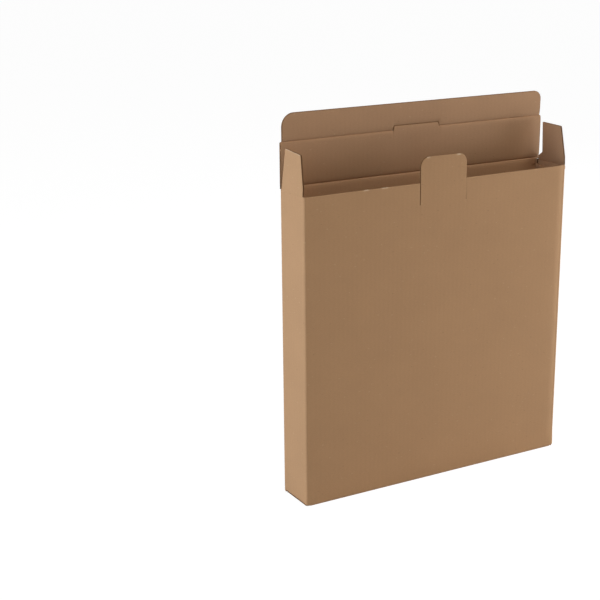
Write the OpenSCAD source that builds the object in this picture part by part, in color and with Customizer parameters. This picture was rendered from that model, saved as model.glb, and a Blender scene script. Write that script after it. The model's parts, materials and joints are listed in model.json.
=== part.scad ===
/* [Carton] */
// Outer width of the carton
carton_w = 200; // [120:1:320]
// Outer depth of the carton
carton_d = 30; // [24:1:60]
// Height of the front panel up to its cut edge
front_h = 200; // [120:1:320]

/* [Board] */
// Thickness of the fluted board
board_t = 1.2; // [0.9:0.1:1.6]
// Outer radius of a right-angled fold
fold_r = 1.8; // [1.6:0.1:3]
// Space left between board layers that only lie on each other
layer_gap = 0.2; // [0.1:0.05:0.4]

/* [Creases] */
// Space between two panels along a working crease
crease_gap = 0.3; // [0.3:0.05:0.7]
// Half angle of the crushed edge beside a working crease
crease_angle = 31; // [26:1:36]

/* [Lid] */
// Height of the lid crease above the front panel's cut edge
lid_rise = 1; // [0.8:0.1:3]
// How far each side of the lid stays inside the carton's outer width
lid_inset = 0.1; // [0:0.1:1]
// Leg of the cut at the lid's lower corners
lid_corner = 0.6; // [0.4:0.1:3]
// Leg of the cut where the lid steps in to the tuck flap
lid_shoulder = 1; // [0.4:0.1:2]

/* [Tuck flap] */
// Length of the tuck flap beyond its crease
tuck_len = 17.8; // [12:0.2:24]
// Corner radius of the tuck flap on the left
tuck_r_left = 8.5; // [3:0.5:10]
// Corner radius of the tuck flap on the right
tuck_r_right = 5; // [3:0.5:10]
// Clearance of the tuck flap inside the carton walls
tuck_gap = 0.2; // [0.1:0.05:0.5]

/* [Locking tab] */
// Width of the tab on the front panel
tab_w = 34.8; // [20:0.2:60]
// Height of the tab above the front panel's cut edge
tab_h = 16; // [10:0.5:22]
// Corner radius of the tab
tab_r = 6.2; // [2:0.2:9]
// Depth of the slits that free the tab
slit_h = 14; // [6:0.5:30]
// Width of those slits
slit_w = 0.6; // [0.3:0.1:1]

/* [Locking tongue] */
// Height of the tongue that the lid keeps past the tuck crease
tongue_h = 3.9; // [2:0.1:6]
// How much narrower each side of the tongue gets towards its end
tongue_slope = 1.2; // [0:0.1:2]
// Spare width of the tongue on each side of the tab
tongue_spare = 0.4; // [0.1:0.1:1]
// Width of the cut round the tongue
tongue_cut = 0.35; // [0.2:0.05:0.6]

/* [Dust flaps] */
// Depth of the flap creases below the front panel's cut edge
flap_drop = 0.7; // [0.5:0.1:1.5]
// Length of a dust flap from its crease
flap_len = 26.4; // [14:0.1:32]
// Setback of the flap's free side at the crease
flap_set_root = 1.9; // [1.8:0.1:4]
// Setback of the flap's free side at its end
flap_set_end = 5.6; // [3:0.1:9]
// Straight run of the free side before it tapers
flap_straight = 6; // [2:0.5:10]
// Corner radius at the end of the free side
flap_r = 1.2; // [0.5:0.1:3]
// How much lower the free corner of the flap's end lies
flap_end_drop = 0.7; // [0:0.1:2]
// Setback of the side beside the lid
flap_set_lid = 5.7; // [4:0.1:9]
// Setback of that side at the crease
flap_set_heel = 2.6; // [2:0.1:4]
// Length over which that side slopes back
flap_heel = 6; // [2:0.5:8]
// Inward lean of the open dust flaps, in degrees
flap_lean = 2; // [0:0.5:6]

/* [Closed base] */
// Height of the base tuck behind the back panel
base_tuck_h = 17; // [12:0.5:24]
// How far each side of the base panel stays inside the outer width
base_inset = 0.3; // [0.2:0.1:1]
// Height of the lower ends of the upright corner folds
corner_lift = 0.6; // [0.3:0.1:1.2]

/* [Glued seam] */
// Width of the seam lap inside the right panel
seam_w = 14; // [8:0.5:16]
// Setback of the right panel's cut edge from the back face
seam_edge = 0.9; // [0.4:0.1:1.5]
// Height of the tapered ends of the seam lap
seam_taper = 5; // [2:0.5:8]
// Setback of the seam lap from the creases
seam_set = 2; // [1.5:0.1:4]

/* [Hidden] */

$fn = 64;
overrun = board_t;
arc_steps = 8;
kraft = [0.70, 0.54, 0.40];
kraft_inside = [0.60, 0.46, 0.34];

half_w = carton_w / 2;
half_d = carton_d / 2;
fold_in = fold_r - board_t;
flat_w = carton_w - 2 * fold_r;
flat_d = carton_d - 2 * fold_r;

crease_half = crease_gap / 2;
crease_reach = board_t / 2 / tan(crease_angle);

lid_z = front_h + lid_rise;
lid_y = half_d - board_t / 2;
lid_w = carton_w - 2 * lid_inset;
lid_len = carton_d - 2 * board_t - tuck_gap;
tuck_z = lid_z + lid_len;
tuck_w = carton_w - 2 * board_t - 2 * tuck_gap;
tongue_w = tab_w + 2 * tongue_spare;

flap_z = front_h - flap_drop;
flap_x = half_w - board_t / 2;
notch_front = -half_d + flap_set_root - layer_gap;
notch_back = half_d - flap_set_heel + layer_gap;

floor_z = board_t + layer_gap;
base_tuck_y = half_d - board_t - layer_gap;
base_tuck_w = carton_w - 2 * (board_t + fold_r);
base_flap_back = half_d - flap_set_root - floor_z;
base_flap_front = flat_d / 2;
base_relief = fold_r + layer_gap;

seam_x = half_w - board_t - fold_r;
seam_y = half_d - fold_r;

// Rectangle on the origin's upper side, with two round corners at its far end
module round_ended(w, h, r_left, r_right) {
    translate([-w / 2 + r_left, 0]) square([w - r_left - r_right, h]);
    translate([-w / 2, 0]) square([r_left, h - r_left]);
    translate([w / 2 - r_right, 0]) square([r_right, h - r_right]);
    translate([-w / 2 + r_left, h - r_left]) circle(r_left);
    translate([w / 2 - r_right, h - r_right]) circle(r_right);
}

// Rectangle centred on the origin with four round corners
module round_rect(w, d, r) {
    square([w - 2 * r, d], center = true);
    square([w, d - 2 * r], center = true);
    for (sx = [-1, 1], sy = [-1, 1])
        translate([sx * (w / 2 - r), sy * (d / 2 - r)]) circle(r);
}

// Quarter of a fold, bent round the origin from the -x side to the -y side
module fold_quarter() {
    intersection() {
        difference() {
            circle(fold_r);
            circle(fold_in);
        }
        translate([-fold_r, -fold_r]) square(fold_r);
    }
}

// Sheet of board standing in the XZ plane, its outline drawn from the crease up
module sheet_xz() {
    rotate([90, 0, 0]) linear_extrude(board_t, center = true) children();
}

// Sheet of board standing in the YZ plane, its outline drawn from the crease up
module sheet_yz() {
    rotate([90, 0, 90]) linear_extrude(board_t, center = true) children();
}

// Two wedges that crush a sheet's edge along X, for a sheet above the crease
module crease_cut_x(w) {
    leg = crease_reach + overrun;
    rise = leg * tan(crease_angle);
    for (side = [0, 1])
        mirror([0, side, 0])
            rotate([90, 0, 90])
                linear_extrude(w, center = true)
                    polygon([[0, 0], [rise, leg], [rise, -leg], [0, -leg]]);
}

// Wall of the tube: four panels joined by three round folds, open at the seam corner
module tube_section() {
    difference() {
        round_rect(carton_w, carton_d, fold_r);
        round_rect(carton_w - 2 * board_t, carton_d - 2 * board_t, fold_in);
        translate([seam_x, seam_y]) square(board_t + fold_r + overrun);
    }
    translate([half_w - board_t, 0]) square([board_t, half_d - seam_edge]);
}

// Part of the tube's section in front of the dust flaps and behind them
module tube_section_beside_flaps() {
    difference() {
        tube_section();
        translate([-half_w, notch_front]) square([carton_w, notch_back - notch_front]);
    }
}

// Tube up to the flap creases, with the taller front, corners and back and the tab
module tube() {
    linear_extrude(flap_z - crease_half) tube_section();
    linear_extrude(front_h) tube_section_beside_flaps();
    linear_extrude(lid_z - crease_half)
        translate([-flat_w / 2, half_d - board_t])
            square([flat_w / 2 + seam_x, board_t]);
    translate([0, -half_d + board_t / 2, front_h - slit_h])
        sheet_xz() round_ended(tab_w, slit_h + tab_h, tab_r, tab_r);
}

// Slits on both sides of the tab
module tab_slits() {
    for (side = [-1, 1])
        translate([side * (tab_w + slit_w) / 2, -half_d + board_t / 2, front_h - slit_h])
            linear_extrude(slit_h + overrun)
                square([slit_w, board_t + overrun], center = true);
}

// Crushed upper edges of the back and side panels
module tube_creases() {
    translate([(seam_x - flat_w / 2) / 2, lid_y, lid_z])
        mirror([0, 0, 1]) crease_cut_x(seam_x + flat_w / 2);
    for (side = [-1, 1])
        translate([side * flap_x, (notch_front + notch_back) / 2, flap_z])
            mirror([0, 0, 1]) rotate([0, 0, 90]) crease_cut_x(notch_back - notch_front);
}

// Space taken from the tube's lower end where panels fold under the carton
module base_clearance() {
    translate([-flat_w / 2, -half_d - overrun, -overrun])
        cube([flat_w, overrun + fold_r, overrun + fold_r]);
    for (side = [0, 1])
        mirror([side, 0, 0])
            translate([-half_w - overrun, -flat_d / 2, -overrun])
                cube([overrun + fold_r, flat_d, overrun + floor_z + fold_r]);
    for (side = [-1, 1])
        translate([side * half_w, -half_d, 0])
            cube([2 * fold_r, 2 * fold_r, 2 * corner_lift], center = true);
}

// Section of the base panel from the front fold to the tuck behind the back panel
module base_section() {
    translate([-half_d + fold_r, fold_r]) fold_quarter();
    translate([-half_d + fold_r, 0])
        square([half_d - fold_r + base_tuck_y - fold_r, board_t]);
    translate([base_tuck_y - fold_r, fold_r]) mirror([1, 0]) fold_quarter();
    translate([base_tuck_y - board_t, fold_r]) square([board_t, base_tuck_h - fold_r]);
}

// Base panel folded from the front panel, with its tuck
module base_panel() {
    base_w = carton_w - 2 * base_inset;
    difference() {
        rotate([90, 0, 90]) linear_extrude(base_w, center = true) base_section();
        for (sx = [-1, 1]) {
            translate([sx * half_w, -half_d, 0])
                cube([2 * base_relief, 2 * base_relief, 3 * base_relief], center = true);
            translate([sx * (half_w + base_tuck_w / 2) / 2, half_d, 0])
                cube([half_w - base_tuck_w / 2, 3 * base_relief, 3 * base_tuck_h], center = true);
        }
        translate([0, half_d, 0]) rotate([90, 0, 0]) linear_extrude(2 * base_relief)
            difference() {
                translate([-half_w, fold_r]) square([carton_w, base_tuck_h]);
                round_ended(base_tuck_w, base_tuck_h, tuck_r_right, tuck_r_right);
            }
    }
}

// Outline of a dust flap: free side to the left, the lid's side to the right
module flap_outline() {
    free_root = -half_d + flap_set_root;
    free_end = -half_d + flap_set_end;
    lid_side = half_d - flap_set_lid;
    heel = half_d - flap_set_heel;
    end_z = flap_len - flap_end_drop;
    slope = atan((free_end - free_root) / (end_z - flap_straight));
    rise = atan(flap_end_drop / (lid_side - free_end));
    turn = 90 - slope - rise;
    reach = flap_r * tan(turn / 2);
    centre = [free_end - reach * sin(slope) + flap_r * cos(slope),
              end_z - reach * cos(slope) - flap_r * sin(slope)];
    corner = [for (i = [0:arc_steps])
        let (a = 180 - slope - i / arc_steps * turn) centre + flap_r * [cos(a), sin(a)]];
    polygon(concat(
        [[free_root, crease_half], [free_root, flap_straight]],
        corner,
        [[lid_side, flap_len], [lid_side, flap_heel], [heel, crease_reach], [heel, crease_half]]));
}

// Dust flap of the closed base, folded in from the left panel and lying on the base panel
module base_flap() {
    fold_len = base_flap_front + base_flap_back;
    translate([-half_w + fold_r, base_flap_back, floor_z + fold_r])
        rotate([90, 0, 0]) linear_extrude(fold_len) fold_quarter();
    translate([-half_w + fold_r, 0, floor_z]) linear_extrude(board_t)
        intersection() {
            rotate(-90) translate([floor_z, -crease_half]) flap_outline();
            translate([0, -base_flap_front]) square([flap_len, fold_len]);
        }
}

// Seam lap folded from the back panel and glued inside the right panel
module seam_lap() {
    lap_end = seam_y - seam_w;
    low = floor_z + fold_r + seam_set;
    high = flap_z - seam_set;
    translate([seam_x, seam_y, low]) linear_extrude(high - low) rotate(180) fold_quarter();
    translate([half_w - board_t - board_t / 2, 0, 0]) sheet_yz()
        polygon([[seam_y, low], [seam_y, high],
                 [lap_end, high - seam_taper], [lap_end, low + seam_taper]]);
}

module carton_body() {
    color(kraft) {
        difference() {
            tube();
            tab_slits();
            tube_creases();
            base_clearance();
        }
        base_panel();
        for (side = [0, 1]) mirror([side, 0, 0]) base_flap();
        seam_lap();
    }
}

// Outline of the lid with its cut corners and the locking tongue
module lid_outline() {
    polygon([
        [-lid_w / 2 + lid_corner, crease_half], [lid_w / 2 - lid_corner, crease_half],
        [lid_w / 2, crease_half + lid_corner], [lid_w / 2, lid_len - lid_shoulder],
        [tuck_w / 2, lid_len - crease_half], [-tuck_w / 2, lid_len - crease_half],
        [-lid_w / 2, lid_len - lid_shoulder], [-lid_w / 2, crease_half + lid_corner]]);
}

module tongue_outline(spare) {
    root = tongue_w / 2 + spare;
    end = root - tongue_slope;
    polygon([
        [-root, -crease_reach], [root, -crease_reach], [root, crease_half],
        [end, tongue_h + spare], [-end, tongue_h + spare], [-root, crease_half]]);
}

module lid() {
    color(kraft_inside) translate([0, lid_y, lid_z]) {
        difference() {
            sheet_xz() lid_outline();
            crease_cut_x(carton_w);
            translate([0, 0, lid_len]) mirror([0, 0, 1]) crease_cut_x(carton_w);
        }
        translate([0, 0, lid_len]) sheet_xz() tongue_outline(0);
    }
}

module tuck_flap() {
    color(kraft_inside) translate([0, lid_y, tuck_z])
        difference() {
            translate([0, 0, crease_half]) sheet_xz()
                round_ended(tuck_w, tuck_len - crease_half, tuck_r_left, tuck_r_right);
            crease_cut_x(carton_w);
            rotate([90, 0, 0]) linear_extrude(board_t + overrun, center = true)
                tongue_outline(tongue_cut);
        }
}

// Dust flap on the left panel; the right one is its mirror image
module dust_flap() {
    color(kraft) translate([-flap_x, 0, flap_z]) rotate([0, flap_lean, 0])
        difference() {
            sheet_yz() flap_outline();
            rotate([0, 0, 90]) crease_cut_x(carton_d);
        }
}

module left_dust_flap() {
    dust_flap();
}

module right_dust_flap() {
    mirror([1, 0, 0]) dust_flap();
}

carton_body();
lid();
tuck_flap();
left_dust_flap();
right_dust_flap();
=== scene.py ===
import json
import math
import bpy
import numpy as np
from mathutils import Matrix, Vector


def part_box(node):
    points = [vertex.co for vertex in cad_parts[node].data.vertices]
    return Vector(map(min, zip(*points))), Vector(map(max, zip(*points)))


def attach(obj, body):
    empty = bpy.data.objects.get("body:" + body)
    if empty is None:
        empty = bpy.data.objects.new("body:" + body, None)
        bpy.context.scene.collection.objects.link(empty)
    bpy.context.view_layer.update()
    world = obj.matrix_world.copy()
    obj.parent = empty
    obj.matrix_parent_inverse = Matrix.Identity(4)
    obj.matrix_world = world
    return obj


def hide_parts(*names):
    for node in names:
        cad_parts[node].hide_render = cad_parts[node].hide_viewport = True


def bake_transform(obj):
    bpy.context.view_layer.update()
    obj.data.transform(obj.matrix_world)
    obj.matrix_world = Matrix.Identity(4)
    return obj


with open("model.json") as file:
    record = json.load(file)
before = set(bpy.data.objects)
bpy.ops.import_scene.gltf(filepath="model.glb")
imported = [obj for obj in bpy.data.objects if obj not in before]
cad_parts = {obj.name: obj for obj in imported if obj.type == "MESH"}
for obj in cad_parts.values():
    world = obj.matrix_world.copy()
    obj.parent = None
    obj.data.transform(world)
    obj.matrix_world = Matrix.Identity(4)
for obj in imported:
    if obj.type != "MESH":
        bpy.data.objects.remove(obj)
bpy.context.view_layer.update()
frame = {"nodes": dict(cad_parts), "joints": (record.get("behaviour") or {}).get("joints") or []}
print("frame loaded:", ", ".join(sorted(frame["nodes"])))

mm = 0.001
quarter = math.pi / 2
tiny = 1e-6  # slack for rounding
slack = 0.01  # mm, for telling two places apart
decimals = 4  # points that agree this far are one point
lineDecimals = 6  # grid lines that agree this far are one line
hinge = {j["name"]: np.array(j["pos_m"]) / mm for j in frame["joints"]}


def boxOf(node):  # lowest and highest corner of a solid, in mm
    low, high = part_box(node)
    return np.array(low) / mm, np.array(high) / mm


# Main sizes, read from the frame, in mm
halfW, halfD, tabTop = boxOf("carton_body")[1]
lidY, lidZ = hinge["lid_crease"][1:]
tuckZ = hinge["tuck_crease"][2]
flapZ = hinge["right_flap_crease"][2]
tuckTop = boxOf("tuck_flap")[1][2]
lidHalf = boxOf("lid")[1][0]
tuckHalf = boxOf("tuck_flap")[1][0]
boardT = 2 * (halfD - lidY)
halfT = boardT / 2

board = dict(
    liner=0.3,  # liner, as a share of half the board
    medium=0.12,  # half the fluting paper, as the same share
    waveRoom=0.05,  # between the fluting and a liner, as the same share
    flutePitch=3.3,
    recess=0.6,  # how deep a flute's hollow shows at a cut edge
    crush=0.1,  # thinning of the board at a cut edge, as a share
    layerGap=0.2,  # space between layers that only lie on each other
    tornLayers=3,  # layers of points that a torn liner takes in
    sharpAngle=math.radians(38),  # edges bent more than this stay sharp
)
fold = dict(seam=1.8, backLeft=1.8, frontLeft=1.3, frontRight=2.6, base=1.8)  # outer radii
crease = dict(
    depth=0.62, shoulder=1.7, lip=1.35,  # valley on the inside, and the runs of its two flanks
    line=0.22, lineWidth=0.28,  # crushed line at its bottom
    reach=4.0,  # the valley ends this far below the line
    bend=1.2,  # half the height that turns with the crease
    back=0.1, backWidth=0.7,  # dent on the outside
    sharp=0.6,  # rows are close up to this far from the line
)
step = dict(  # spacing of grid lines, in mm
    line=0.1, flank=0.35, foot=0.4,  # rows at a crease's line, on its flanks and below them
    fold=0.32, sharpFold=0.2, foldSide=0.4,  # round a fold, and beside the front right one
    corner=0.6, smallCorner=0.3, innerCorner=0.8,  # at a round corner
    flute=0.66,  # columns that draw the flutes at a cut edge
    root=0.27,  # columns at the tongue's sides
    fine=0.5, narrow=1.0, flap=1.5, close=2.0, plain=2.5, inner=3.0, panel=4.0, wide=8.0,
)


# Grid lines and paths

def gridLine(*stops):  # stops of (place, spacing), each split evenly up to the next, and the last place
    *starts, end = stops
    nexts = [stop[0] for stop in starts[1:]] + [end]
    parts = []
    for (a, spacing), b in zip(starts, nexts):
        cells = max(1, math.ceil((b - a) / spacing - tiny))
        parts.append(np.linspace(a, b, cells + 1)[:-1])
    return np.append(np.concatenate(parts), end)


def walk(run, start, heading, legs):
    # Adds up legs of (length, turn). A straight leg goes on along its heading h, a bent one is an
    # arc whose heading grows evenly: x = L / turn * (sin(h + turn * u / L) - sin h), y likewise.
    x = np.full(np.shape(run), start[0], float)
    y = np.full(np.shape(run), start[1], float)
    way = np.full(np.shape(run), heading, float)
    done = 0.0
    h = heading
    for length, turn in legs:
        u = np.clip(run - done, 0, length)
        if turn:
            x += length / turn * (np.sin(h + turn * u / length) - math.sin(h))
            y -= length / turn * (np.cos(h + turn * u / length) - math.cos(h))
        else:
            x += u * math.cos(h)
            y += u * math.sin(h)
        way += turn * u / length
        done += length
        h += turn
    return x, y, way


def foldRun(r):  # length of a quarter turn along the middle of the board
    return quarter * (r - halfT)


def upright(v):  # section of a panel that just stands
    return np.zeros(np.shape(v)), v, np.full(np.shape(v), quarter)


def ease(t):  # 0 to 1 with level ends, t * t * (3 - 2 * t)
    t = np.clip(t, 0, 1)
    return t * t * (3 - 2 * t)


def roundCorner(s, v, cornerS, cornerV, r, sideS, sideV=1):
    # Squeezes the square block at a corner into a quarter disc: a * sqrt(1 - b * b / 2) each way.
    # cornerS and cornerV are the centre of the round, sideS and sideV say which corner it is.
    a = np.clip((s - cornerS) * sideS / r, 0, 1)
    b = np.clip((v - cornerV) * sideV / r, 0, 1)
    block = (a > 0) & (b > 0)
    roundS = cornerS + sideS * r * a * np.sqrt(1 - b * b / 2)
    roundV = cornerV + sideV * r * b * np.sqrt(1 - a * a / 2)
    return np.where(block, roundS, s), np.where(block, roundV, v)


def valley(d):
    # Inside of a crease at a height d above its line: depth * exp(-|d| / run), with one run for the
    # shoulder above and one for the lip below, and a narrow bell for the crushed line.
    run = np.where(d > 0, crease["shoulder"], crease["lip"])
    line = crease["line"] * np.exp(-((d / crease["lineWidth"]) ** 2))
    return (crease["depth"] * np.exp(-np.abs(d) / run) + line) * np.clip(1 + d / crease["reach"], 0, 1)


def dent(d):  # outside of a crease, a shallow bell
    return -crease["back"] * np.exp(-((d / crease["backWidth"]) ** 2))


# Sheets of board

def boardMesh(cols, rows, kept, plan, section, outline=None, inner=None, outer=None, joined=(), plain=None,
              frayed=None):
    # One grid of blank coordinates, s round the carton and v up the board, gives both faces:
    # point = plan(s) + outward * depth, carried along section(v). Eight layers of points run
    # from face to face along a cut: liner, hollow, fluting wave, hollow, liner.
    s, v = np.meshgrid(cols, rows, indexing="ij")
    cells = kept((s[:-1, :-1] + s[1:, 1:]) / 2, (v[:-1, :-1] + v[1:, 1:]) / 2)
    seam = np.isin(np.round(v, decimals), np.round(joined, decimals))  # here two sheets are one board
    smooth = seam | plain(s, v) if plain else seam  # edges that butt on the next sheet, with no cut to see
    if outline:
        s, v = outline(s, v)
    flat = np.arange(s.size).reshape(s.shape)
    ring = np.pad(cells, 1)
    below, above = ring[1:-1, :-1], ring[1:-1, 1:]
    left, right = ring[:-1, 1:-1], ring[1:, 1:-1]
    free = ~(seam[1:, :] & seam[:-1, :])
    sides = [
        (above & ~below & free, flat[1:, :], flat[:-1, :], (0, 1)),
        (below & ~above & free, flat[:-1, :], flat[1:, :], (0, -1)),
        (right & ~left, flat[:, :-1], flat[:, 1:], (1, 0)),
        (left & ~right, flat[:, 1:], flat[:, :-1], (-1, 0)),
    ]
    inward = np.zeros((2, s.size))
    for mask, a, b, way in sides:
        ends = np.concatenate([a[mask], b[mask]])
        for axis in (0, 1):
            inward[axis, ends] = np.where(way[axis], way[axis], inward[axis, ends])
    inward = inward.reshape(2, *s.shape) * ~smooth
    cut = np.abs(inward).max(0)

    liner, medium = 1 - board["liner"], board["medium"]
    wave = (liner - medium - board["waveRoom"]) * np.sin(2 * np.pi * s / board["flutePitch"])
    one = np.ones_like(s)
    share = np.stack([one, liner * one, (liner + wave + medium) / 2, wave + medium,
                      wave - medium, (wave - medium - liner) / 2, -liner * one, -one])
    last = len(share) - 1  # layer of the inner face
    gap = np.zeros_like(share)
    gap[2] = liner - wave - medium
    gap[5] = liner + wave - medium
    thin = halfT * (1 - board["crush"] * cut)
    faceOut = thin + (outer(s, v) if outer else 0)
    faceIn = -thin + (inner(s, v) if inner else 0)
    depth = (faceOut + faceIn) / 2 + share * (faceOut - faceIn) / 2
    gridS = s + inward[0] * gap * board["recess"]
    gridV = v + inward[1] * gap * board["recess"]
    x, y, heading = plan(gridS)
    a, z, up = section(gridV)
    a = a - depth * np.sin(up)
    z = z + depth * np.cos(up)
    points = np.stack([x - a * np.sin(heading), y + a * np.cos(heading), z], -1).reshape(-1, 3)

    quad = np.stack([flat[:-1, :-1], flat[1:, :-1], flat[1:, 1:], flat[:-1, 1:]], -1)[cells]
    faces = [quad, quad[:, ::-1] + last * s.size]
    for mask, a, b, way in sides:
        for k in range(last):
            here, there = k * s.size, (k + 1) * s.size
            faces.append(np.stack([a[mask] + here, b[mask] + here, b[mask] + there, a[mask] + there], -1))
    used, faces = np.unique(np.concatenate(faces), return_inverse=True)
    layer = used // s.size
    spot = used % s.size
    torn = frayed(s, v).ravel()[spot] * (layer < board["tornLayers"]) if frayed else np.zeros(len(used))
    return dict(
        points=points[used],
        faces=faces.reshape(-1, 4),
        blank=np.stack([s.ravel()[spot], v.ravel()[spot], (1 - share.reshape(-1)[used]) / 2], -1),
        cut=((layer > 0) & (layer < last) & ~smooth.ravel()[spot]).astype(float),
        # how strongly a point takes the painted shade of a flute's hollow
        hollowShade=np.clip(gap.reshape(-1)[used], 0, 1),
        rim=cut.ravel()[spot],
        torn=torn,
    )


def weld(*sheets):  # joins sheets into one, with the points of their seams shared
    starts = np.cumsum([0] + [len(m["points"]) for m in sheets])
    merged = {k: np.concatenate([m[k] for m in sheets]) for k in sheets[0] if k != "faces"}
    faces = np.concatenate([m["faces"] + n for m, n in zip(sheets, starts)])
    first, index = np.unique(np.round(merged["points"], decimals), axis=0, return_index=True,
                             return_inverse=True)[1:]
    merged = {k: values[first] for k, values in merged.items()}
    merged["faces"] = index.ravel()[faces]
    return merged


def putMesh(name, sheet, material):
    mesh = bpy.data.meshes.new(name)
    mesh.from_pydata(sheet["points"] * mm, [], sheet["faces"])
    blank = mesh.attributes.new("blank", "FLOAT_VECTOR", "POINT")
    blank.data.foreach_set("vector", (sheet["blank"] * [mm, mm, 1]).astype(np.float32).ravel())
    for key in ("cut", "hollowShade", "rim", "torn"):
        values = mesh.attributes.new(key, "FLOAT", "POINT")
        values.data.foreach_set("value", sheet[key].astype(np.float32))
    mesh.polygons.foreach_set("use_smooth", np.ones(len(mesh.polygons), bool))
    mesh.set_sharp_from_angle(angle=board["sharpAngle"])
    mesh.materials.append(material)
    mesh.update()
    obj = bpy.data.objects.new(name, mesh)
    bpy.context.scene.collection.objects.link(obj)
    print("made", name, len(mesh.vertices), "points", len(mesh.polygons), "faces")
    return obj


# Kraft board material

kraft = dict(
    outside=(0.500, 0.297, 0.158),
    inside=(0.500, 0.298, 0.173),
    # painted shade: the cut edges' colour is painted darker, as shadow in their flutes
    cutEdgeShade=(0.240, 0.128, 0.058),
    # painted shade, darker still, in the flutes' hollows at a cut
    hollowShade=(0.095, 0.048, 0.020),
    fray=(0.720, 0.520, 0.330),
    torn=(0.860, 0.700, 0.500),
    darkSpeck=(0.20, 0.12, 0.06),
    paleSpeck=(0.72, 0.55, 0.36),
    rimShade=0.9,  # painted shade on the inside face along a cut
    roughness=0.86,
    specular=0.22,
    fibres=dict(  # scale of each noise on the blank, its turn and its detail
        fine=((420, 3600, 40), 0.10, 3),
        crossed=((700, 2600, 40), -0.55, 2),
        cloud=((26, 38, 3), 0.3, 4),
        broad=((9, 6, 2), 0.0, 2),
    ),
    swings=dict(fine=0.035, crossed=0.03, cloud=0.025, broad=0.015, flutes=0.006),  # of the paper's tone
    speckScale=(330, 620, 30), speckShare=0.05,  # share of the cells that hold a dark or a pale speck
    darkSize=0.20, darkTint=0.2, paleSize=0.22, paleTint=0.18,
    relief=dict(fine=0.008, crossed=0.008, flutes=0.006, cloud=0.040),  # heights in mm
    bump=0.7,
)


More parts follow.
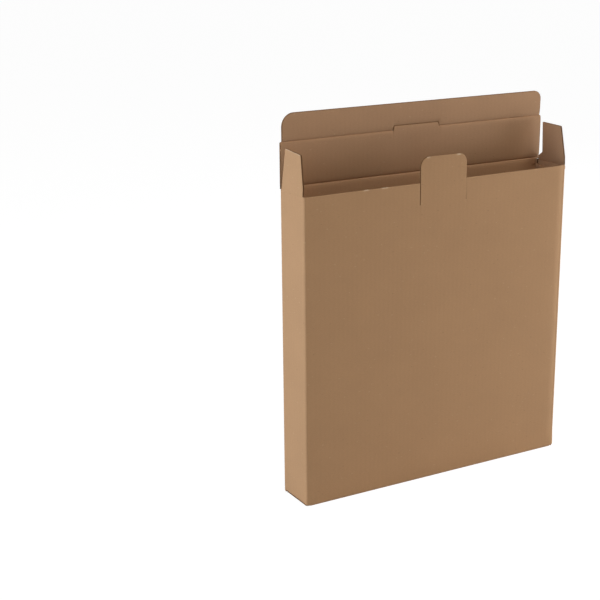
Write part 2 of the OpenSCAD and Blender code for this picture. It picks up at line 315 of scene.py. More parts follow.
def makeKraft(name):
    mat = bpy.data.materials.new(name)
    mat.use_nodes = True
    nodes, links = mat.node_tree.nodes, mat.node_tree.links
    shader = nodes["Principled BSDF"]
    shader.inputs["Roughness"].default_value = kraft["roughness"]
    shader.inputs["Specular IOR Level"].default_value = kraft["specular"]

    def node(kind, inputs=None, **settings):
        made = nodes.new(kind)
        for key, value in settings.items():
            setattr(made, key, value)
        for key, value in (inputs or {}).items():
            if isinstance(value, bpy.types.NodeSocket):
                links.new(value, made.inputs[key])
            else:
                made.inputs[key].default_value = value
        return made

    def math2(operation, a, b):
        return node("ShaderNodeMath", {0: a, 1: b}, operation=operation).outputs[0]

    def blend(factor, a, b, mode="MIX"):
        mix = node("ShaderNodeMix", {0: factor, 6: a, 7: b}, data_type="RGBA", blend_type=mode)
        return mix.outputs[2]

    def spread(value, low, high, toLow, toHigh):
        made = node("ShaderNodeMapRange", {"Value": value, "From Min": low, "From Max": high,
                                           "To Min": toLow, "To Max": toHigh})
        return made.outputs["Result"]

    def colour(key):
        return (*kraft[key], 1)

    def drawn(key):  # one of the sheets' own attributes
        return node("ShaderNodeAttribute", attribute_name=key).outputs["Fac"]

    blank = node("ShaderNodeAttribute", attribute_name="blank").outputs["Vector"]
    across = node("ShaderNodeSeparateXYZ", {0: blank})

    def fibres(key):  # noise drawn out along the paper machine's direction
        scale, turn, detail = kraft["fibres"][key]
        mapping = node("ShaderNodeMapping", {"Vector": blank, "Scale": scale, "Rotation": (0, 0, turn)})
        return node("ShaderNodeTexNoise", {"Vector": mapping.outputs[0], "Scale": 1.0, "Detail": detail,
                                           "Roughness": 0.6}).outputs["Fac"]

    pattern = {key: fibres(key) for key in kraft["fibres"]}
    phase = math2("MULTIPLY", across.outputs[0], 2 * math.pi / (board["flutePitch"] * mm))
    pattern["flutes"] = node("ShaderNodeMath", {0: phase}, operation="SINE").outputs[0]
    crossed, cloud = pattern["crossed"], pattern["cloud"]
    speckMap = node("ShaderNodeMapping", {"Vector": blank, "Scale": kraft["speckScale"]})
    specks = node("ShaderNodeTexVoronoi", {"Vector": speckMap.outputs[0], "Scale": 1.0, "Randomness": 1.0})
    chance = node("ShaderNodeSeparateColor", {0: specks.outputs["Color"]})
    dark = math2("MULTIPLY", math2("LESS_THAN", specks.outputs["Distance"], kraft["darkSize"]),
                 math2("LESS_THAN", chance.outputs[0], kraft["speckShare"]))
    pale = math2("MULTIPLY", math2("LESS_THAN", specks.outputs["Distance"], kraft["paleSize"]),
                 math2("GREATER_THAN", chance.outputs[1], 1 - kraft["speckShare"]))

    liner = blend(across.outputs[2], colour("outside"), colour("inside"))
    tone = 1.0
    for key, swing in kraft["swings"].items():
        low, high = (-1.0, 1.0) if key == "flutes" else (0.3, 0.7)
        tone = math2("MULTIPLY", tone, spread(pattern[key], low, high, 1 - swing, 1 + swing))
    grey = node("ShaderNodeCombineColor", {0: tone, 1: tone, 2: tone}).outputs[0]
    paper = blend(1.0, liner, grey, "MULTIPLY")
    paper = blend(math2("MULTIPLY", dark, kraft["darkTint"]), paper, colour("darkSpeck"))
    paper = blend(math2("MULTIPLY", pale, kraft["paleTint"]), paper, colour("paleSpeck"))
    # a cut face takes the painted shade of its flutes, with pale frayed fibres mixed in
    edgeShadeAndFray = blend(spread(crossed, 0.5, 0.8, 0.0, 0.25), colour("cutEdgeShade"), colour("fray"))
    # the hollows at a cut are painted darker still, as shade
    edgeShadeAndFray = blend(drawn("hollowShade"), edgeShadeAndFray, colour("hollowShade"))
    paper = blend(drawn("cut"), paper, edgeShadeAndFray)
    wear = math2("MULTIPLY", spread(drawn("rim"), 0.55, 1.0, 0.0, 1.0), spread(cloud, 0.55, 0.65, 0.0, 0.35))
    paper = blend(wear, paper, colour("fray"))
    # painted shade: the inside face is darkened along its cut edges
    rim = math2("MULTIPLY", spread(drawn("rim"), 0.0, 0.9, 0.0, kraft["rimShade"]), across.outputs[2])
    paper = blend(rim, paper, colour("cutEdgeShade"))
    torn = math2("MULTIPLY", drawn("torn"), spread(crossed, 0.35, 0.5, 0.3, 1.0))
    paper = blend(torn, paper, colour("torn"))
    links.new(paper, shader.inputs["Base Color"])

    relief = 0.0
    for key, height in kraft["relief"].items():
        relief = math2("ADD", relief, math2("MULTIPLY", pattern[key], height * mm))
    bump = node("ShaderNodeBump", {"Height": relief, "Strength": kraft["bump"], "Distance": 1.0})
    links.new(bump.outputs[0], shader.inputs["Normal"])
    return mat


kraftBoard = makeKraft("kraft_board")
print("kraft material ready")


# Carton: lap, back, left, front and right panels of one wrapped blank

carton = dict(
    lap=14.0, seamEdge=0.9, lapTaper=5.0, lapLow=5.2, lapHigh=197.3,
    frontTop=200.0, cornerLow=0.6, cornerRise=dict(backLeftFold=0.5, frontLeftFold=1.2, frontRightFold=1.2),
    tabHalf=17.4, tabShift=0.8, tabRadius=6.2, slitFoot=186.0, slitLeft=0.5, slitRight=0.3, slitShut=0.05,
    butt=4.0,  # other sheets take over this far below the lid crease
    bow=0.35,  # how far the middle of the front panel has sunk
    lean=1.0, leanRun=9.0, leanSide=12.0,  # the back panel has sunk too, up to close below the lid crease
    leanFoot=20.0, leanRise=60.0,  # it is level up to this height, and sunk in full so much above it
    rollOff=0.9, rollRun=2.2, rollRise=10.0,  # the front panel falls away before its right fold
    sideSamples=4000,  # points that a side panel is searched on
    torn=[(-56.5, 200.0, 2.0, 0.5), (-43.0, 200.0, 2.4, 0.45), (-11.2, 215.8, 1.2, 0.5),
          (12.0, 215.6, 1.7, 0.45)],  # torn spots of the liner: place, half length and half height
)
flap = dict(
    length=26.4, lean=math.radians(2), setRoot=1.9, straight=6.0, radius=1.2, notch=0.2,
    # setbacks of the edge beside the lid, by height over the crease
    left=dict(setEnd=5.3, rear=[(0.15, 2.0), (26.0, 5.8)], endDrop=1.4),
    right=dict(setEnd=5.7, rear=[(0.15, 1.5), (2.4, 1.6), (3.6, 2.4), (6.0, 5.9)], endDrop=0.5),
    torn=0.5, tornHeight=0.3,  # pale line along the end
)
seamX = halfW - boardT - fold["seam"]
legs = [
    ("lap", carton["lap"], 0), ("seamFold", foldRun(fold["seam"]), quarter),
    ("back", seamX + halfW - fold["backLeft"], 0), ("backLeftFold", foldRun(fold["backLeft"]), quarter),
    ("left", 2 * halfD - fold["backLeft"] - fold["frontLeft"], 0),
    ("frontLeftFold", foldRun(fold["frontLeft"]), quarter),
    ("front", 2 * halfW - fold["frontLeft"] - fold["frontRight"], 0),
    ("frontRightFold", foldRun(fold["frontRight"]), quarter),
    ("right", 2 * halfD - fold["frontRight"] - carton["seamEdge"], 0),
]
legOrder = np.array([leg[0] for leg in legs])
legEnds = np.cumsum([leg[1] for leg in legs])
ends = dict(zip(legOrder, legEnds))
begins = {leg[0]: ends[leg[0]] - leg[1] for leg in legs}


def tubePlan(s):  # the legs, walked from the lap's free end and seen from above
    start = (halfW - boardT - halfT, halfD - fold["seam"] - carton["lap"])
    return walk(s, start, quarter, [leg[1:] for leg in legs])


def panelPlan(name):  # straight line through one panel, carried on past its ends
    s0 = begins[name]
    x0, y0, h = (float(c) for c in tubePlan(np.array(s0)))
    return lambda s: (x0 + (s - s0) * math.cos(h), y0 + (s - s0) * math.sin(h), np.full(np.shape(s), h))


def sideS(name, y):  # blank coordinate at a depth y on a side panel or in its front fold
    first, last = dict(left=("left", "frontLeftFold"), right=("frontRightFold", "right"))[name]
    line = np.linspace(begins[first], ends[last], carton["sideSamples"])
    depth = tubePlan(line)[1]
    order = np.argsort(depth)
    return float(np.interp(y, depth[order], line[order]))


frontMid = begins["front"] + halfW - fold["frontLeft"]  # blank coordinate of the carton's middle
tabLeft = frontMid + carton["tabShift"] - carton["tabHalf"]
tabRight = frontMid + carton["tabShift"] + carton["tabHalf"]
buttZ = lidZ - carton["butt"]
notchFront = -halfD + flap["setRoot"] - flap["notch"]
notchBack = {side: halfD - flap[side]["rear"][0][1] + flap["notch"] for side in ("left", "right")}
notches = {side: sorted([sideS(side, notchFront), sideS(side, notchBack[side])]) for side in notchBack}

base = dict(
    tuckHigh=17.0, tuckHalf=97.0, tuckRadius=5.0, sideInset=0.6, lead=0.4,
    lift=0.4, liftRun=4.0,  # the base panel's sides are raised off the floor
    pressed=0.35, pressedRun=2.3,  # and pressed thin under the side folds
    endRun=2.0, liftFront=1.2,  # lift and press die out over these at the base panel's two folds
    flapReach=27.45, flapBack=11.7, flapStraight=6.0, flapTaper=3.7, flapHeel=6.0, flapFront=10.7,
    sideFold=1.4,  # outer radius of the side panels' lower folds
    dip=0.3, dipAngle=math.radians(25), dipRadius=2.0,  # these folds sag past the base panel's sides
)
baseButt = fold["base"] + base["lead"]
flapMidZ = boardT + board["layerGap"] + halfT
sideLow = flapMidZ - base["dip"] + base["sideFold"] - halfT  # side panels turn in here, over the base panel
sideButt = sideLow + base["lead"]


def tubeCells(s, v):  # board lies between the lower and the upper edge of the leg at s
    y = tubePlan(s)[1]
    leg = legOrder[np.searchsorted(legEnds, s)]
    side = (leg == "left") | (leg == "right")
    front = leg == "front"
    glued = (leg == "lap") | (leg == "seamFold")
    rear = leg == "back"
    low = np.select([glued, front, side & (y < base["flapBack"]), rear],
                    [carton["lapLow"], baseButt, sideButt, 0], carton["cornerLow"])
    inNotch = np.zeros(s.shape, bool)
    for a, b in notches.values():
        inNotch |= (s > a) & (s < b)
    high = np.select([leg == "lap", rear | inNotch], [carton["lapHigh"], buttZ], carton["frontTop"])
    inSlit = front & (s > tabLeft - carton["slitLeft"]) & (s < tabRight + carton["slitRight"])
    high = np.where(inSlit, carton["slitFoot"], high)
    high = np.where(front & (s > tabLeft) & (s < tabRight), tabTop, high)
    return (v > low) & (v < high)


def tubeOutline(s, v):
    # The right slit narrows upwards, the tab's corners are round, the lap's ends taper, and the
    # lower ends of the three outer folds rise in half sines.
    t = np.clip((carton["frontTop"] - v) / (carton["frontTop"] - carton["slitFoot"]), 0, 1)
    onSlit = np.isclose(s, tabRight + carton["slitRight"]) & (v >= carton["slitFoot"])
    shut = carton["slitShut"] + (carton["slitRight"] - carton["slitShut"]) * t ** 2
    s = np.where(onSlit, tabRight + shut, s)
    r = carton["tabRadius"]
    s, v = roundCorner(s, v, tabLeft + r, tabTop - r, r, -1)
    s, v = roundCorner(s, v, tabRight - r, tabTop - r, r, 1)
    lapMid = (carton["lapLow"] + carton["lapHigh"]) / 2
    narrow = np.clip(1 - s / carton["lap"], 0, 1) * carton["lapTaper"] / (carton["lapHigh"] - lapMid)
    v = lapMid + (v - lapMid) * (1 - narrow)
    for name, rise in carton["cornerRise"].items():
        u = np.clip((s - begins[name]) / (ends[name] - begins[name]), 0, 1)
        v = v + rise * np.sin(np.pi * u) * np.clip(1 - v / carton["lapLow"], 0, 1)
    return s, v


def frontBow(s, v):
    # The front panel sinks in by a half sine each way, and falls away by rollOff * exp(-u / rollRun)
    # towards its right fold, where that dies out again.
    u = begins["frontRightFold"] - s
    t = np.clip((v - baseButt) / (carton["frontTop"] - baseButt), 0, 1)
    across = np.sin(np.pi * np.clip((s - begins["front"]) / (ends["front"] - begins["front"]), 0, 1))
    bow = carton["bow"] * across * np.sin(np.pi * t) ** 2
    roll = np.exp(-np.clip(u, 0, None) / carton["rollRun"]) * ease(1 + u / foldRun(fold["frontRight"]))
    onFront = (s > tabRight) & (s < begins["right"])
    return -bow - carton["rollOff"] * roll * onFront * ease((v - baseButt) / carton["rollRise"])


def backLean(s, v):
    # The back panel sinks in by lean * (1 - exp(-u / leanRun)) at u below the lid crease, and rises
    # level again towards its sides and its lower end.
    side = np.minimum(s - begins["back"], ends["back"] - s)
    sunk = 1 - np.exp(-np.clip(lidZ - v, 0, None) / carton["leanRun"])
    rise = ease((v - carton["leanFoot"]) / carton["leanRise"])
    return -carton["lean"] * sunk * ease(side / carton["leanSide"]) * rise


def tubeBow(s, v):  # both panels sink with their two faces alike
    return frontBow(s, v) + backLean(s, v)


def tornSpots(s, v):  # bells round a few spots of the front panel's upper edge
    spots = np.zeros(s.shape)
    for x, z, halfLength, halfHeight in carton["torn"]:
        bell = np.exp(-(((s - frontMid - x) / halfLength) ** 4) - ((v - z) / halfHeight) ** 2)
        spots = np.maximum(spots, bell)
    return spots


frontCols = gridLine(
    (begins["front"], step["flute"]), (frontMid - base["tuckHalf"], step["flute"]),
    (tabLeft - carton["slitLeft"], step["corner"]), (tabLeft, step["corner"]),
    (tabLeft + carton["tabRadius"], step["flute"]), (tabRight - carton["tabRadius"], step["corner"]),
    (tabRight, step["corner"]), (tabRight + carton["slitRight"], step["flute"]),
    (frontMid + base["tuckHalf"], step["foldSide"]), ends["front"])
leftCols = gridLine(
    (begins["left"], step["narrow"]), (notches["left"][0], step["narrow"]),
    (sideS("left", base["flapBack"]), step["plain"]), (notches["left"][1], step["narrow"]), ends["left"])
rightCols = gridLine(
    (begins["right"], step["plain"]), (sideS("right", base["flapBack"]), step["narrow"]),
    (notches["right"][1], step["narrow"]), ends["right"])
tubeCols = np.unique(np.round(np.concatenate([
    gridLine((0, step["panel"]), (begins["seamFold"], step["fold"]), (begins["back"], step["panel"]),
             (begins["backLeftFold"], step["fold"]), begins["left"]),
    leftCols,
    gridLine((begins["frontLeftFold"], step["sharpFold"]), begins["front"]),
    frontCols,
    gridLine((begins["frontRightFold"], step["fold"]), (notches["right"][0], step["fold"]), begins["right"]),
    rightCols,
]), lineDecimals))
tubeRows = gridLine(
    (0, step["narrow"]), (carton["cornerLow"], step["narrow"]), (baseButt, step["narrow"]),
    (sideButt, step["narrow"]), (carton["lapLow"], step["wide"]), (carton["slitFoot"], step["close"]),
    (buttZ, step["narrow"]), (carton["lapHigh"], step["fine"]), (carton["frontTop"], step["close"]),
    (tabTop - carton["tabRadius"], step["corner"]), tabTop)


def tubeButts(s, v):  # upper ends of the back and side panels, where other sheets go on, and of the lap
    inNotch = (s >= notches["left"][0]) & (s <= notches["left"][1]) | (s >= notches["right"][0])
    lapEnd = np.isclose(v, carton["lapHigh"]) & (s < begins["seamFold"])
    return np.isclose(v, buttZ) & (inNotch | (s >= begins["back"]) & (s <= ends["back"])) | lapEnd


tubeSheet = boardMesh(tubeCols, tubeRows, tubeCells, tubePlan, upright, tubeOutline, tubeBow, tubeBow,
                      joined=(baseButt, sideButt), plain=tubeButts, frayed=tornSpots)
print("tube laid out on", len(tubeCols), "by", len(tubeRows), "lines")


# Closed base: the base panel folds back from the front, its tuck stands inside the back

baseRun = 2 * halfD - 2 * fold["base"] - boardT - board["layerGap"]
baseLegs = [(base["tuckHigh"] - fold["base"], 0), (foldRun(fold["base"]), -quarter), (baseRun, 0),
            (foldRun(fold["base"]), -quarter), (base["lead"], 0)]
baseStart = baseButt - sum(leg[0] for leg in baseLegs)
tuckFold = baseStart + baseLegs[0][0]
baseRear = tuckFold + foldRun(fold["base"])
baseFront = baseRear + baseRun
baseReach = halfW - base["sideInset"]


def baseSection(v):  # down from the tuck's upper edge, forward over the floor and up into the front
    start = (baseRun + 2 * (fold["base"] - halfT), base["tuckHigh"])
    return walk(v - baseStart, start, -quarter, baseLegs)


def baseCells(s, v):  # tuck, base panel and front fold each have a width of their own
    x = np.abs(s - frontMid)
    onFront = (s > begins["front"]) & (s < ends["front"])
    return np.select([v < baseRear, v < baseFront], [x < base["tuckHalf"], x < baseReach], onFront)


def baseOutline(s, v):  # rounds the tuck's upper corners
    r = base["tuckRadius"]
    for side in (-1, 1):
        s, v = roundCorner(s, v, frontMid + side * (base["tuckHalf"] - r), baseStart + r, r, side, -1)
    return s, v


def basePressed(s, v):  # the upper face comes down evenly towards both sides of the base panel
    t = np.clip((np.abs(s - frontMid) - baseReach + base["pressedRun"]) / base["pressedRun"], 0, 1)
    fading = ease((v - baseRear) / base["endRun"]) * ease((baseFront - v) / base["endRun"])
    return base["pressed"] * t * fading


def baseLifted(s, v):  # the underside rises towards both sides
    t = ease((np.abs(s - frontMid) - halfW + base["liftRun"]) / (base["liftRun"] - fold["frontLeft"]))
    fading = ease((v - baseRear) / base["endRun"]) * ease((baseButt - v) / base["liftFront"])
    return -base["lift"] * t * fading


baseCols = np.concatenate([[frontMid - baseReach], frontCols, [frontMid + baseReach]])
baseRows = gridLine(
    (baseStart, step["innerCorner"]), (baseStart + base["tuckRadius"], step["inner"]),
    (tuckFold, step["fold"]), (baseRear, step["close"]), (baseFront, step["fold"]),
    (baseFront + foldRun(fold["base"]), step["narrow"]), baseButt)
baseSheet = boardMesh(baseCols, baseRows, baseCells, panelPlan("front"), baseSection, baseOutline,
                      basePressed, baseLifted, joined=(baseButt,))

sagArc = base["dipRadius"] * base["dipAngle"]
foldMid = base["sideFold"] - halfT
sagDrop = (base["dipRadius"] + foldMid) * (1 - math.cos(base["dipAngle"]))
sagRun = (base["dip"] - sagDrop) / math.sin(base["dipAngle"])
sagReach = (base["dipRadius"] * math.sin(base["dipAngle"]) + sagRun * math.cos(base["dipAngle"])
            + foldMid * (1 + math.sin(base["dipAngle"])))
flapRun = base["flapReach"] - sagReach
flapLegs = [(flapRun, 0), (sagArc, base["dipAngle"]), (sagRun, 0),
            (foldMid * (quarter + base["dipAngle"]), -quarter - base["dipAngle"]), (base["lead"], 0)]
flapStart = sideButt - sum(leg[0] for leg in flapLegs)
flapFold = flapStart + flapRun


def baseFlapSection(v):  # out from the flap's end, down by the sag, up into the panel
    return walk(v - flapStart, (base["flapReach"], flapMidZ), math.pi, flapLegs)


def baseFlap(name, cols):
    turn = 1 if name == "right" else -1  # the right panel runs to the back, the left one to the front
    middle = sideS(name, 0)
    inReach = cols[(cols - middle) * turn < base["flapBack"] + tiny]
    frontY = float(((inReach - middle) * turn).min())

    def outline(s, v):  # both sides of the flap draw in towards its end
        y = (s - middle) * turn
        d = np.clip(flapFold - v, 0, None)
        taper = np.clip((d - base["flapStraight"]) / (flapRun - base["flapStraight"]), 0, 1)
        rear = base["flapBack"] - base["flapTaper"] * taper
        front = frontY + (-base["flapFront"] - frontY) * np.clip(d / base["flapHeel"], 0, 1)
        share = (y - frontY) / (base["flapBack"] - frontY)
        return middle + turn * (front + share * (rear - front)), v

    rows = gridLine((flapStart, step["plain"]), (flapFold - base["flapHeel"], step["close"]),
                    (flapFold, step["fold"]), sideButt)
    return boardMesh(inReach, rows, lambda s, v: np.ones(s.shape, bool), panelPlan(name),
                     baseFlapSection, outline, joined=(sideButt,))


cartonSheet = weld(tubeSheet, baseSheet, baseFlap("left", leftCols), baseFlap("right", rightCols))
cartonPiece = putMesh("carton", cartonSheet, kraftBoard)
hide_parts("carton_body")
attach(cartonPiece, "carton")


# Lid with its tongue

lid = dict(
    cornerLeg=0.2, cornerLow=0.9, kneeRun=0.1,  # lower corners, and their step to the back panel's width
    endRun=0.6,  # columns are close up to this far from the lid's sides
    tongueHalf=17.8, tongueShift=-0.8, tongueHigh=3.5, tongueSlope=1.2, tongueRoot=0.8,
    plainRoot=0.3,  # the tongue's sides show no cut up to this far below the tuck crease
    curl=0.12,
)
tuck = dict(
    radiusLeft=8.5, radiusRight=5.6, slotSpread=6.0, slotCut=0.06, slotSide=0.25,
    rise=0.8, tilt=0.4,  # the crease shows this much higher in the middle, and so much more to the right
    lineLow=0.2, lineHigh=1.9,  # rows are close between these, below and above the joint
    shutRun=0.5,  # the slot's sides close up within this below the crease
    rightHalf=98.9, rightFlare=0.3,  # reach to the right above the crease, and its growth upwards
    step=0.8,  # height of the step in from the lid's width
)
backPlan = panelPlan("back")
tuckButt = tuckZ - crease["reach"]
tongueTop = tuckZ + lid["tongueHigh"]
slotTop = tongueTop + tuck["slotCut"]
slotHalf = lid["tongueHalf"] + tuck["slotSide"]
lidFoot = lidZ - lid["cornerLow"]


def backX(s):  # x of a blank coordinate on the back panel
    return seamX - (s - begins["back"])


def backS(x):  # and the blank coordinate of an x
    return begins["back"] + seamX - x


def stretchX(s, left, right, half):  # spreads the columns from -half..half over left..right
    x = backX(s)
    return backS(left + (x + half) / (2 * half) * (right - left))


def fromTongue(s):  # distance from the tongue's middle line
    return np.abs(backX(s) - lid["tongueShift"])


def tuckLine(x):  # height of the tuck crease as it shows
    return tuckZ + tuck["rise"] + tuck["tilt"] * x / halfW


def lidOutline(s, v):
    # Below its lower corners the lid is as wide as the back panel, and the tongue narrows upwards.
    knee = lidFoot + np.array([-lid["kneeRun"], 0, lid["cornerLeg"]])
    right = np.interp(v, knee, [seamX, lidHalf - lid["cornerLeg"], lidHalf])
    left = -np.interp(v, knee, [halfW - fold["backLeft"], lidHalf - lid["cornerLeg"], lidHalf])
    narrow = 1 - lid["tongueSlope"] / lid["tongueHalf"] * np.clip((v - tuckZ) / lid["tongueHigh"], 0, 1)
    return stretchX(s, left * narrow, right * narrow, lidHalf), v


def lidCells(s, v):  # past the tuck crease only the tongue is board
    return (v < tuckButt) | (fromTongue(s) < lid["tongueHalf"])


def lidCurl(s, v):  # the open lid's ends stand a little forward of its middle
    return -lid["curl"] * (backX(s) / halfW) ** 2 * np.clip((v - lidZ) / (tuckZ - lidZ), 0, None)


def onTongue(s):  # 1 on the tongue, falling to 0 at its sides, where the tuck crease ends
    return ease((lid["tongueHalf"] - fromTongue(s)) / lid["tongueRoot"])


def lidInner(s, v):  # valley at the crease, and the lip of the tongue's end
    lip = crease["depth"] * np.exp(-np.clip(tongueTop - v, 0, None) / crease["lip"])
    lip = lip * ease((v - tuckButt) / crease["reach"]) * onTongue(s)
    root = valley(v - tuckLine(backX(s))) * (1 - onTongue(s)) * (v > tuckButt)
    return valley(v - lidZ) + lip + root + lidCurl(s, v) + backLean(s, v)


def lidOuter(s, v):  # dents behind the valleys
    root = dent(v - tuckLine(backX(s))) * (1 - onTongue(s)) * (v > tuckButt)
    return dent(v - lidZ) + root + lidCurl(s, v) + backLean(s, v)


def lidButts(s, v):  # edges along the back panel, under the tuck crease and beside the tongue's root
    x = fromTongue(s)
    return np.isclose(v, buttZ) | (np.isclose(v, tuckButt) & (x > lid["tongueHalf"] - slack)) | (
        np.isclose(x, lid["tongueHalf"]) & (v > tuckButt) & (v < tuckLine(backX(s)) - lid["plainRoot"]))


tongueS = [backS(lid["tongueShift"] + side * lid["tongueHalf"]) for side in (1, -1)]
lidCols = gridLine(
    (backS(lidHalf), step["corner"]), (backS(lidHalf - lid["endRun"]), step["plain"]),
    (tongueS[0], step["root"]), (tongueS[0] + lid["tongueRoot"], step["flute"]),
    (tongueS[1] - lid["tongueRoot"], step["root"]), (tongueS[1], step["plain"]),
    (backS(lid["endRun"] - lidHalf), step["corner"]), backS(-lidHalf))
lidRows = gridLine(
    (buttZ, step["foot"]), (lidFoot - lid["kneeRun"], step["line"]), (lidFoot, step["line"]),
    (lidFoot + lid["cornerLeg"], step["line"]), (lidZ + crease["sharp"], step["flank"]),
    (lidZ + crease["reach"], step["plain"]), (tuckButt, step["fine"]), tongueTop)
lidSheet = boardMesh(lidCols, lidRows, lidCells, backPlan, upright, lidOutline, lidInner, lidOuter,
                     plain=lidButts)
lidPiece = putMesh("open_lid", lidSheet, kraftBoard)
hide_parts("lid")
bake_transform(lidPiece)


# Tuck flap with the slot round the tongue

def tuckOutline(s, v):
    # Round upper corners, a step in from the lid's width at the crease, and slot sides that lean
    # with the tongue and close up on it below the crease.
    x = backX(s)
    rl, rr = tuck["radiusLeft"], tuck["radiusRight"]
    x, v = roundCorner(x, v, -tuckHalf + rl, tuckTop - rl, rl, -1)
    x, v = roundCorner(x, v, tuckHalf - rr, tuckTop - rr, rr, 1)
    off = x - lid["tongueShift"]
    out = np.abs(off)
    near = np.clip(1 - (out - slotHalf) / tuck["slotSpread"], 0, 1) * np.clip(out / slotHalf, 0, 1)
    lean = lid["tongueSlope"] * np.clip((v - tuckZ) / (slotTop - tuckZ), 0, 1)
    shut = tuck["slotSide"] * np.clip((tuckLine(x) - v) / tuck["shutRun"], 0, 1)
    x = x - np.sign(off) * near * (lean + shut)
    stepped = ease((v - tuckLine(np.sign(x) * halfW)) / tuck["step"] + 0.5)
    flare = tuck["rightFlare"] * np.clip((v - tuckZ) / (tuckTop - tuckZ), 0, 1)
    half = np.where(x > 0, tuck["rightHalf"] + flare, tuckHalf)
    wider = lidHalf + (half - lidHalf) * stepped - tuckHalf
    outer = np.clip((np.abs(x) - tuckHalf / 2) / (tuckHalf / 2), 0, 1)
    return backS(x + np.sign(x) * wider * outer), v


def tuckCells(s, v):  # all but the slot is board
    return (fromTongue(s) > slotHalf) | (v > slotTop)


def tuckInner(s, v):  # valley at the crease, and a shoulder like its upper flank over the slot
    x = backX(s)
    overSlot = crease["depth"] * np.exp(-np.clip(v - slotTop, 0, None) / crease["shoulder"])
    inSlot = ease((slotHalf - fromTongue(s)) / lid["tongueRoot"])
    return valley(v - tuckLine(x)) * (1 - inSlot) + overSlot * inSlot + lidCurl(s, v)


def tuckOuter(s, v):  # dent behind the valley
    return dent(v - tuckLine(backX(s))) + lidCurl(s, v)


def tuckButts(s, v):  # edges on the lid and beside the tongue's root
    beside = np.isclose(fromTongue(s), slotHalf)
    return np.isclose(v, tuckButt) | (beside & (v < tuckLine(backX(s)) - lid["plainRoot"]))


slotS = [backS(lid["tongueShift"] + side * slotHalf) for side in (1, -1)]
tuckCols = gridLine(
    (backS(tuckHalf), step["corner"]), (backS(tuckHalf - tuck["radiusRight"]), step["flute"]),
    (slotS[0], step["root"]), (slotS[0] + lid["tongueRoot"], step["flute"]),
    (slotS[1] - lid["tongueRoot"], step["root"]), (slotS[1], step["flute"]),
    (backS(-tuckHalf + tuck["radiusLeft"]), step["corner"]), backS(-tuckHalf))
tuckRows = gridLine(
    (tuckButt, step["foot"]), (tuckZ - tuck["lineLow"], step["line"]),
    (tuckZ + tuck["lineHigh"], step["flank"]), (slotTop, step["fine"]),
    (tuckTop - tuck["radiusLeft"], step["corner"]), (tuckTop - tuck["radiusRight"], step["corner"]), tuckTop)
tuckSheet = boardMesh(tuckCols, tuckRows, tuckCells, backPlan, upright, tuckOutline, tuckInner, tuckOuter,
                      plain=tuckButts)
tuckPiece = putMesh("open_tuck_flap", tuckSheet, kraftBoard)
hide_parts("tuck_flap")
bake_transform(tuckPiece)


# Dust flaps at the top of both side panels

def dustFlap(name, node):
    turn = 1 if name == "right" else -1
    middle = sideS(name, 0)
    flapTop = flapZ + flap["length"]
    own = flap[name]
    back = notchBack[name]
    rearAt, rearSet = np.array(own["rear"]).T

    def section(v):  # stands on the side panel and leans in from the crease up
        legs = [(flapZ - crease["bend"] - buttZ, 0), (2 * crease["bend"], -flap["lean"]), (flap["length"], 0)]
        return walk(v - buttZ, (0, buttZ), quarter, legs)

    def outline(s, v):  # columns are shared out between the front and the rear edge at each height
        y, v = roundCorner((s - middle) * turn, v, notchFront + flap["radius"], flapTop - flap["radius"],
                           flap["radius"], -1)
        share = (y - notchFront) / (back - notchFront)
        d = v - flapZ
        rootY = flap["setRoot"] - halfD
        front = np.interp(d, [0, rearAt[0], flap["straight"], flap["length"]],
                          [notchFront, rootY, rootY, own["setEnd"] - halfD])
        rear = np.interp(d, [0, *rearAt], [back, *(halfD - rearSet)])
        v = v - own["endDrop"] * (1 - share) * np.clip(d / flap["length"], 0, 1)
        return middle + turn * (front + share * (rear - front)), v

    def tornEnd(s, v):  # a bell along the flap's slanted end
        share = ((s - middle) * turn + halfD - own["setEnd"]) / (2 * halfD - own["setEnd"] - rearSet[-1])
        end = flapTop - own["endDrop"] * (1 - share)
        return flap["torn"] * np.exp(-(((v - end) / flap["tornHeight"]) ** 2))

    lineY = gridLine((notchFront, step["smallCorner"]), (notchFront + flap["radius"], step["flute"]), back)
    cols = np.sort(middle + turn * lineY)
    rows = gridLine(
        (buttZ, step["foot"]), (flapZ - crease["sharp"], step["line"]),
        (flapZ + crease["sharp"], step["flank"]), (flapZ + crease["reach"], step["plain"]),
        (flapZ + flap["straight"], step["flap"]), (flapTop - flap["radius"], step["smallCorner"]), flapTop)
    sheet = boardMesh(cols, rows, lambda s, v: np.ones(s.shape, bool), panelPlan(name), section, outline,
                      lambda s, v: valley(v - flapZ), lambda s, v: dent(v - flapZ),
                      plain=lambda s, v: v < flapZ - slack, frayed=tornEnd)
    piece = putMesh(node + "_open", sheet, kraftBoard)
    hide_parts(node)
    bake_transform(piece)


dustFlap("left", "left_dust_flap")
dustFlap("right", "right_dust_flap")


# Floor, light and camera

studio = dict(
    floorSize=16.0,
    floorColour=0.86,
    floorGlow=0.975,  # white that the camera sees on the floor whatever falls on it
    floorShade=0.10,  # share of the floor's own light and shadow in what the camera sees
    world=0.03,
    aim=(0, 0, 0.1),
    softboxes=dict(
        left=dict(at=(-1.20, 0.06, 0.31), size=0.8, watts=11.2, colour=(0.97, 1.03, 1.11)),
        right=dict(at=(1.00, 0.00, 0.28), size=0.65, watts=9.4, colour=(0.95, 1.0, 1.04)),
        lowRight=dict(at=(0.48, -0.24, 0.10), size=0.25, watts=0.66, colour=(1.0, 1.03, 1.10)),
        top=dict(at=(0.20, -0.52, 1.10), size=0.8, watts=5.0, colour=(1.0, 0.89, 0.73)),
    ),
)
view = dict(at=(-0.47153, -0.67574, 0.35897), yaw=-29.13, pitch=16.31, roll=-0.57, focalPixels=1307.8,
            framePixels=600, sensor=36.0, clip=(0.01, 100))


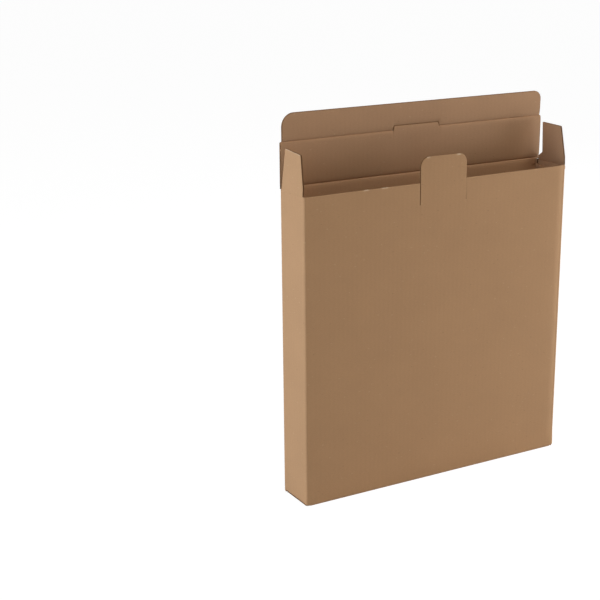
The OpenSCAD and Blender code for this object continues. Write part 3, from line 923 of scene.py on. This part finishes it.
def seenRay(nodes, links):  # 1 for what the camera sees, directly or in a gloss or a glass
    path = nodes.new("ShaderNodeLightPath")
    rays = [path.outputs["Is Camera Ray"], path.outputs["Is Glossy Ray"], path.outputs["Is Transmission Ray"]]
    seen = rays[0]
    for ray in rays[1:]:
        both = nodes.new("ShaderNodeMath")
        both.operation = "MAXIMUM"
        links.new(seen, both.inputs[0])
        links.new(ray, both.inputs[1])
        seen = both.outputs[0]
    return seen


def makeFloor():
    half = studio["floorSize"] / 2
    mesh = bpy.data.meshes.new("floor")
    corners = [(-half, -half, 0), (half, -half, 0), (half, half, 0), (-half, half, 0)]
    mesh.from_pydata(corners, [], [(0, 1, 2, 3)])
    mat = bpy.data.materials.new("pale_floor")
    mat.use_nodes = True
    nodes, links = mat.node_tree.nodes, mat.node_tree.links
    nodes.clear()
    seen = seenRay(nodes, links)
    lit = nodes.new("ShaderNodeBsdfDiffuse")
    tone = nodes.new("ShaderNodeMapRange")
    tone.inputs["To Min"].default_value = studio["floorColour"]
    tone.inputs["To Max"].default_value = studio["floorShade"]
    links.new(seen, tone.inputs["Value"])
    links.new(tone.outputs["Result"], lit.inputs["Color"])
    white = nodes.new("ShaderNodeEmission")
    glow = nodes.new("ShaderNodeMath")
    glow.operation = "MULTIPLY"
    glow.inputs[1].default_value = studio["floorGlow"]
    links.new(seen, glow.inputs[0])
    links.new(glow.outputs[0], white.inputs["Strength"])
    both = nodes.new("ShaderNodeAddShader")
    links.new(lit.outputs[0], both.inputs[0])
    links.new(white.outputs[0], both.inputs[1])
    out = nodes.new("ShaderNodeOutputMaterial")
    links.new(both.outputs[0], out.inputs["Surface"])
    mesh.materials.append(mat)
    floor = bpy.data.objects.new("floor", mesh)
    bpy.context.scene.collection.objects.link(floor)


def makeWorld():
    world = bpy.data.worlds.new("studio")
    bpy.context.scene.world = world
    world.use_nodes = True
    nodes, links = world.node_tree.nodes, world.node_tree.links
    ground = nodes["Background"]
    level = nodes.new("ShaderNodeMapRange")
    links.new(seenRay(nodes, links), level.inputs["Value"])
    level.inputs["To Min"].default_value = studio["world"]
    level.inputs["To Max"].default_value = 1.0
    ground.inputs["Color"].default_value = (1, 1, 1, 1)
    links.new(level.outputs["Result"], ground.inputs["Strength"])


def makeSoftbox(name, settings):
    light = bpy.data.lights.new(name + "_softbox", "AREA")
    light.size = settings["size"]
    light.energy = settings["watts"]
    light.color = settings["colour"]
    lamp = bpy.data.objects.new(light.name, light)
    lamp.location = settings["at"]
    lamp.rotation_euler = (Vector(studio["aim"]) - lamp.location).to_track_quat("-Z", "Y").to_euler()
    lamp.visible_camera = False
    bpy.context.scene.collection.objects.link(lamp)


makeFloor()
makeWorld()
for name, settings in studio["softboxes"].items():
    makeSoftbox(name, settings)

camera = bpy.data.cameras.new("photo_camera")
camera.sensor_width = view["sensor"]
camera.lens = view["focalPixels"] * view["sensor"] / view["framePixels"]
camera.clip_start, camera.clip_end = view["clip"]
eye = bpy.data.objects.new("photo_camera", camera)
eye.matrix_world = (Matrix.Translation(view["at"]) @ Matrix.Rotation(math.radians(view["yaw"]), 4, "Z")
                    @ Matrix.Rotation(math.radians(90 - view["pitch"]), 4, "X")
                    @ Matrix.Rotation(math.radians(view["roll"]), 4, "Z"))
bpy.context.scene.collection.objects.link(eye)
bpy.context.scene.camera = eye
bpy.context.scene.view_settings.view_transform = "Standard"
print("studio ready")
